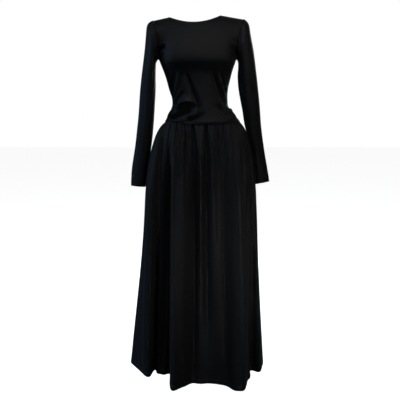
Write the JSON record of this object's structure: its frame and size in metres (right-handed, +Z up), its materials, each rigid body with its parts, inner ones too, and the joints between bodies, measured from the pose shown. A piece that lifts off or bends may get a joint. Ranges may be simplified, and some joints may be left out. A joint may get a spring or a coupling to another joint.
{
  "type": "maxi dress",
  "caption": "Long-sleeved black jersey maxi dress with a boat neck, a fitted bodice and a gathered full-length skirt, in its hollow worn form.",
  "frame": {"origin": "between the shoulders at neck height, where the wearer holds the dress up", "axes": "+Z up the length of the dress, -Y out of its front, +X towards the sleeve on the right of the front view"},
  "size_m": [0.5361, 0.4955, 1.3258],
  "materials": {
    "black_jersey": "matt black knitted jersey with a soft sheen"
  },
  "bodies": {
    "root": {"bodice_front": "black_jersey", "bodice_back": "black_jersey", "sleeve_left": "black_jersey", "sleeve_right": "black_jersey", "skirt_front": "black_jersey", "skirt_back": "black_jersey"}
  },
  "joints": []
}
